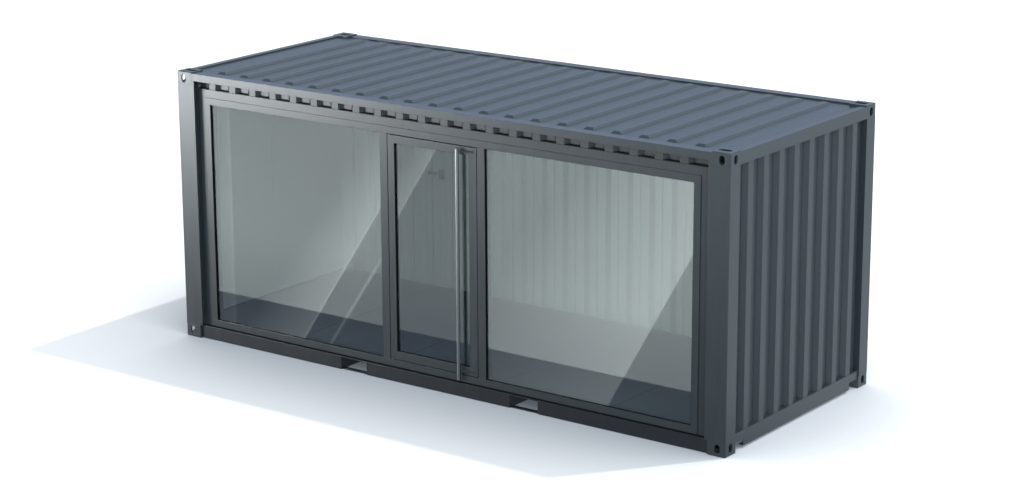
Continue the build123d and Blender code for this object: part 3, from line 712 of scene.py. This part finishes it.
# %% Board joints
FLOOR_SHEETS = 5
JOINT_WIDTH, JOINT_DEPTH, JOINT_RISE, JOINT_EASE = 4 * MM, 1 * MM, 0.5 * MM, 0.3 * MM
for joint in range(1, FLOOR_SHEETS):
    x = floor_low[0] + joint * (floor_high[0] - floor_low[0]) / FLOOR_SHEETS
    rubber_strip(
        f"floor_joint_{joint}",
        (x - JOINT_WIDTH / 2, floor_low[1], floor_high[2] - JOINT_DEPTH),
        (x + JOINT_WIDTH / 2, floor_high[1], floor_high[2] + JOINT_RISE),
        JOINT_EASE,
    )
print("floor joints:", FLOOR_SHEETS - 1)

# %% [markdown]
# ## Camera
#
# The camera stands in front of the right corner, some 24 m away and well above
# the roof, with a long lens, so the edges of the cabin nearly stay parallel. It
# could be aimed at a target, but three angles can each be set alone.

# %% Camera
AZIMUTH, DOWN, ROLL = math.radians(-36.19), math.radians(15.17), math.radians(-0.26)
EYE = Vector((13.418, -18.418, 7.219))
ahead = Vector(
    (math.sin(AZIMUTH) * math.cos(DOWN), math.cos(AZIMUTH) * math.cos(DOWN), -math.sin(DOWN))
)
level = Vector((math.cos(AZIMUTH), -math.sin(AZIMUTH), 0))
upward = level.cross(ahead)
right = math.cos(ROLL) * level + math.sin(ROLL) * upward
top = -math.sin(ROLL) * level + math.cos(ROLL) * upward
turn = Matrix((right, top, -ahead)).transposed()
camera_data = bpy.data.cameras.new("camera")
camera_data.lens = 90.24
camera_data.sensor_width = 36.0
camera = bpy.data.objects.new("camera", camera_data)
camera.matrix_world = Matrix.Translation(EYE) @ turn.to_4x4()
bpy.context.scene.collection.objects.link(camera)
bpy.context.scene.camera = camera
bpy.context.scene.view_settings.view_transform = "Standard"
print("camera:", round(camera_data.lens), "mm lens,", round(EYE.length, 1), "m away")

# %% [markdown]
# ## What the glass mirrors
#
# A glossy thing shows less of itself than of the room around it, so a studio
# paints its floor for the mirror as well as for the eye. The panes here mirror
# broad slanting gleams that end in a thin glint, a pale upright band at the left
# edge, and a dark strip of floor along the sill. These are easier to place on
# the panes than on the floor, so a function follows the mirrored ray from a
# point of the glass to the floor.


# %% Where the glass mirrors the floor
glass_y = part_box("left_glass")[0][1]


def mirrored_floor(x, z):
    """The floor point that the glass mirrors to the camera at x, z."""
    reach = z / (EYE.z - z)
    return Vector((x + (x - EYE.x) * reach, glass_y + (EYE.y - glass_y) * reach, 0))


def beyond_line(tree, place, line):
    """Metres that a place of the floor lies to the left of a line on the glass."""
    start, end = (mirrored_floor(*point) for point in line)
    along = (end - start).normalized()
    across = Vector((along.y, -along.x, 0))
    part = add(tree, "ShaderNodeVectorMath", {0: place, 1: across}, operation="DOT_PRODUCT")
    offset = {0: part.outputs["Value"], 1: start.dot(across)}
    return add(tree, "ShaderNodeMath", offset, operation="SUBTRACT").outputs["Value"]


print("the bottom of the glass mirrors y =", round(mirrored_floor(0, 0.2).y, 2))

# %% [markdown]
# ## Light in layers
#
# Every light below is a sum of layers, and each layer is a product of plain
# strengths and soft edges. It could be wired by hand, but written as a table it
# can be read and changed without following any wires.


# %% Add up layers of light
# Each span is the start and the width of a soft edge, in metres on the floor.
GLEAM_STOP, GLINT_SPAN = (-0.01, 0.02), (0.005, 0.03)


def layered_light(tree, *layers):
    """The sum of the layers. Each multiplies strengths, given as they are, and soft
    edges, given as (value, start, width, light before, light after)."""
    light = 0.0
    for layer in layers:
        strength = 1.0
        for part in layer:
            if isinstance(part, tuple):
                value, start, width, before, after = part
                edge = {
                    "Value": value,
                    "From Min": start,
                    "From Max": start + width,
                    "To Min": before,
                    "To Max": after,
                }
                step = add(tree, "ShaderNodeMapRange", edge, interpolation_type="SMOOTHSTEP")
                part = step.outputs["Result"]
            both = add(tree, "ShaderNodeMath", {0: strength, 1: part}, operation="MULTIPLY")
            strength = both.outputs["Value"]
        light = add(tree, "ShaderNodeMath", {0: light, 1: strength}, operation="ADD").outputs["Value"]
    return light


def gleam(tree, place, line, reach, height, glint):
    """Light that grows towards a line on the glass and ends there in a thin glint."""
    before = beyond_line(tree, place, line)
    slope = add(
        tree,
        "ShaderNodeMapRange",
        {"Value": before, "From Min": 0.0, "From Max": reach, "To Min": height, "To Max": 0.0},
    )
    stop = (before, *GLEAM_STOP, 0.0, 1.0)
    fine_line = (before, *GLINT_SPAN, glint, 0.0)
    return layered_light(tree, [stop, slope.outputs["Result"]], [stop, fine_line])


print("light helpers:", layered_light.__name__, gleam.__name__)

# %% Gleams, the upright band and the dark strip
# A gleam is its line on the glass, as two points x, z, its reach over the floor,
# its strength at the line and the strength of its glint.
LEFT_GLEAM = ((-1.590, 0.212), (-0.655, 1.596)), 0.65, 1.25, 0.8
LEFT_BAND = ((-2.454, 0.2), (-2.454, 2.3)), 0.35, 0.35, 0.3
RIGHT_GLEAM = ((1.810, 0.212), (2.640, 1.668)), 1.9, 1.8, 0.0
DOOR_GLEAM = ((-0.467, 1.528), (-0.021, 2.216)), 0.45, 1.0, 0.5
LEFT_GLINT = (-1.262, 0.212), (-0.655, 1.100)
DOOR_CORNER = (-0.467, 2.008), (-0.328, 2.216)
DOOR_SIDES = [((x, 0.2), (x, 2.3)) for x in (-0.62, 0.49)]
PANE_EDGE = -0.02, 0.04
DARK_STRIP_TOP, STRIP_EDGE, FADE_LENGTH = 0.485, 0.04, 2.2


def mirror_light(tree, place):
    """Brightness of the floor as the glass sees it."""
    door_left, door_right = (beyond_line(tree, place, line) for line in DOOR_SIDES)
    glint = beyond_line(tree, place, LEFT_GLINT)
    corner = beyond_line(tree, place, DOOR_CORNER)
    depth = add(tree, "ShaderNodeSeparateXYZ", {"Vector": place}).outputs["Y"]
    strip = mirrored_floor(0, DARK_STRIP_TOP).y

    on_left = (door_left, *PANE_EDGE, 0.0, 1.0)
    on_right = (door_right, *PANE_EDGE, 1.0, 0.0)
    on_door = [(door_left, *PANE_EDGE, 1.0, 0.0), (door_right, *PANE_EDGE, 0.0, 1.0)]
    plain = layered_light(
        tree,
        [on_left, (glint, -0.03, 0.05, 0.4, 0.85)],
        [on_right, 0.8],
        [1.0],
    )
    gleams = layered_light(
        tree,
        [on_left, gleam(tree, place, *LEFT_GLEAM)],
        [on_left, (glint, *GLEAM_STOP, 0.0, 0.9), (glint, 0.015, 0.03, 1.0, 0.0)],
        [gleam(tree, place, *LEFT_BAND)],
        [on_right, gleam(tree, place, *RIGHT_GLEAM)],
        [*on_door, gleam(tree, place, *DOOR_GLEAM)],
        [*on_door, (corner, 0.0, 0.02, 0.0, 0.3)],
    )
    fade = (depth, strip - FADE_LENGTH, FADE_LENGTH, 1.0, 0.74)
    into_strip = (depth, strip - 0.03, STRIP_EDGE)
    return layered_light(
        tree,
        [plain, fade, (*into_strip, 1.0, 0.12)],
        [gleams, fade, (*into_strip, 1.0, 0.6)],
    )


print("dark strip starts at y =", round(mirrored_floor(0, DARK_STRIP_TOP).y, 2))

# %% [markdown]
# ## Studio floor
#
# The floor is plain pale paper with three looks, chosen by the kind of ray that
# meets it. Eyes see the paper, a little darker close to the cabin, where less
# sky reaches it, and with a faint blue glow that keeps the shadow light and
# cool. Satin paint sees it dim in front of the cabin and brighter further out.
# Glass sees the gleams. What bounces off the paper in front of the cabin is held
# back as well, so the frame isn't lit from below.

# %% Paper for the eye
OVAL_MIDDLE = Vector((-1.2, -3.2, 0.0))
OVAL_SQUEEZE = Vector((0.5, 1.0, 1.0))
DIM_REACH, DIM_FADE = 2.2, 2.8


def far_from_front(tree, place):
    """Distance from the floor in front of the cabin, halved along the cabin."""
    squeezed = add(tree, "ShaderNodeVectorMath", {0: place, 1: OVAL_SQUEEZE}, operation="MULTIPLY")
    ends = {0: squeezed.outputs["Vector"], 1: OVAL_MIDDLE * OVAL_SQUEEZE}
    return add(tree, "ShaderNodeVectorMath", ends, operation="DISTANCE").outputs["Value"]


def pale_paper(tree, soft_ray, away):
    """Pale paper with painted shade near the cabin, bouncing little light in front of it."""
    # Painted shade: the paper's colour darkens close to the cabin, where the occlusion node finds less
    # open sky.
    open_sky = add(tree, "ShaderNodeAmbientOcclusion", {"Distance": 2.0}).outputs["AO"]
    near_to_open = layered_light(tree, [(open_sky, 0.45, 0.55, 0.0, 1.0)])
    tone = add(
        tree,
        "ShaderNodeMix",
        {"Factor": near_to_open, "A": linear("#b6bac1"), "B": linear("#e3e4e6")},
        data_type="RGBA",
    )
    # Painted shade for bounced light: diffuse rays see the paper near black in front of the cabin.
    held_back = layered_light(tree, [soft_ray, (away, DIM_REACH, DIM_FADE, 0.85, 0.0)])
    bounce = add(
        tree,
        "ShaderNodeMix",
        {"Factor": held_back, "A": tone.outputs["Result"], "B": linear("#000000")},
        data_type="RGBA",
    )
    paper = add(
        tree,
        "ShaderNodeBsdfPrincipled",
        {"Base Color": bounce.outputs["Result"], "Roughness": 0.9, "Specular IOR Level": 0.2},
    )
    glow = layered_light(tree, [(soft_ray, 0.0, 1.0, 0.09, 0.0)])
    blue = add(tree, "ShaderNodeEmission", {"Color": linear("#e1f0ff"), "Strength": glow})
    eye = add(tree, "ShaderNodeAddShader", {0: paper.outputs["BSDF"], 1: blue.outputs["Emission"]})
    return eye.outputs["Shader"]


print("dim floor in front, around", [round(x, 2) for x in OVAL_MIDDLE])


# %% One floor for eye, paint and glass
def studio_floor(tree):
    """Paper for the eye, a dim front for satin paint and gleams for the glass."""
    place = add(tree, "ShaderNodeTexCoord").outputs["Object"]
    ray = add(tree, "ShaderNodeLightPath")
    away = far_from_front(tree, place)
    eye = pale_paper(tree, ray.outputs["Is Diffuse Ray"], away)
    # Painted reflection of shade: satin paint sees the paper dim in front of the cabin, where its shadow
    # lies, and brighter further out.
    dim_front = layered_light(tree, [(away, DIM_REACH, DIM_FADE, 0.22, 0.8)])
    sheen = add(tree, "ShaderNodeEmission", {"Color": linear("#f7fcff"), "Strength": dim_front})
    gleams = add(
        tree,
        "ShaderNodeEmission",
        {"Color": linear("#f8fffe"), "Strength": mirror_light(tree, place)},
    )
    cool = add(tree, "ShaderNodeEmission", {"Color": linear("#c4ceff"), "Strength": 0.3})
    mirror = add(
        tree, "ShaderNodeAddShader", {0: gleams.outputs["Emission"], 1: cool.outputs["Emission"]}
    )
    glossy = add(
        tree,
        "ShaderNodeMixShader",
        {0: ray.outputs["Is Singular Ray"], 1: sheen.outputs["Emission"], 2: mirror.outputs["Shader"]},
    )
    bounced = add(tree, "ShaderNodeMath", {0: ray.outputs["Glossy Depth"], 1: 1.0}, operation="MINIMUM")
    look = add(
        tree,
        "ShaderNodeMixShader",
        {0: bounced.outputs["Value"], 1: eye, 2: glossy.outputs["Shader"]},
    )
    return look.outputs["Shader"]


def stage_plane(name, size, location, turned, material):
    """A plane that is part of the studio and not of the cabin."""
    bpy.ops.mesh.primitive_plane_add(size=size, location=location, rotation=turned)
    plane = bpy.context.object
    plane.name = name
    plane.data.materials.append(material)
    return plane


FLOOR_SIZE = 160.0
floor_paper = new_finish("studio_floor", studio_floor)
stage_plane("studio_floor", FLOOR_SIZE, (0, 0, 0), (0, 0, 0), floor_paper)
print("floor nodes:", len(floor_paper.node_tree.nodes))

# %% [markdown]
# ## Softbox
#
# A large softbox stands to the front left. A lamp would light the floor as well,
# so this is a glowing cloth that only gloss shows, as a sheen that grows along
# the front towards the left and up to the head of the frame.


# %% Softbox
def softbox_cloth(tree, strength):
    """White cloth that glows evenly."""
    cloth = add(tree, "ShaderNodeEmission", {"Color": linear("#f9fdff"), "Strength": strength})
    return cloth.outputs["Emission"]


SOFTBOX_SIZE, SOFTBOX_STRENGTH = 5.0, 31.5
SOFTBOX_PLACE = (-11.5, -10.0, 2.5)
SOFTBOX_TURN = (math.radians(90), 0, math.radians(-50))
cloth = new_finish("softbox_cloth", softbox_cloth, SOFTBOX_STRENGTH)
softbox = stage_plane("softbox", SOFTBOX_SIZE, SOFTBOX_PLACE, SOFTBOX_TURN, cloth)
softbox.visible_camera = softbox.visible_diffuse = False
softbox.visible_transmission = softbox.visible_shadow = False
print("softbox at", [round(x, 1) for x in softbox.location])

# %% [markdown]
# ## Sun and sky
#
# One sun stands behind to the right, so the cabin's shadow falls to the front
# left. The sky is soft and white for matt things, and brightest to the right and
# a little below the horizon, as from a bright yard, which lights the right end
# more than the front. Gloss sees a blue sky that is brightest high up behind the
# cabin, to the left. The eye sees plain white. No picture of a sky is needed:
# each of these is one smooth change of light from one side to the other.

# %% Sun
SUN_TRAVEL = Vector((-0.93, -1.25, -2.59))
sun_data = bpy.data.lights.new("sun", "SUN")
sun_data.energy = 1.35
sun_data.angle = math.radians(1.6)
sun_data.color = linear("#fffdf9")[:3]
sun = bpy.data.objects.new("sun", sun_data)
sun.rotation_euler = SUN_TRAVEL.to_track_quat("-Z", "Y").to_euler()
bpy.context.scene.collection.objects.link(sun)
print("sun energy:", round(sun_data.energy, 2))

# %% Sky
FILL_FROM = Vector((0.97, -0.25, -0.12)).normalized()
BRIGHT_SKY = Vector((-0.42, 0.68, 0.6))
world = bpy.data.worlds.new("sky")
world.use_nodes = True
tree = world.node_tree
tree.nodes.clear()
way = add(tree, "ShaderNodeTexCoord").outputs["Generated"]
ray = add(tree, "ShaderNodeLightPath")
facing = add(tree, "ShaderNodeVectorMath", {0: way, 1: FILL_FROM}, operation="DOT_PRODUCT")
fill = layered_light(tree, [(facing.outputs["Value"], -0.1, 1.1, 0.84, 3.3)])
soft_sky = add(tree, "ShaderNodeBackground", {"Color": linear("#f7fcff"), "Strength": fill})
to_rear = add(tree, "ShaderNodeVectorMath", {0: way, 1: BRIGHT_SKY}, operation="DOT_PRODUCT")
gloss = layered_light(tree, [(to_rear.outputs["Value"], 0.3, 0.7, 0.52, 0.98)])
mirrored = add(tree, "ShaderNodeBackground", {"Color": linear("#c8dafa"), "Strength": gloss})
seen = add(tree, "ShaderNodeBackground", {"Color": linear("#ffffff"), "Strength": 1.0})
bounced = add(tree, "ShaderNodeMath", {0: ray.outputs["Glossy Depth"], 1: 1.0}, operation="MINIMUM")
gloss_or_soft = add(
    tree,
    "ShaderNodeMixShader",
    {
        0: bounced.outputs["Value"],
        1: soft_sky.outputs["Background"],
        2: mirrored.outputs["Background"],
    },
)
all_rays = add(
    tree,
    "ShaderNodeMixShader",
    {
        0: ray.outputs["Is Camera Ray"],
        1: gloss_or_soft.outputs["Shader"],
        2: seen.outputs["Background"],
    },
)
add(tree, "ShaderNodeOutputWorld", {"Surface": all_rays.outputs["Shader"]})
bpy.context.scene.world = world
print("sky nodes:", len(tree.nodes))
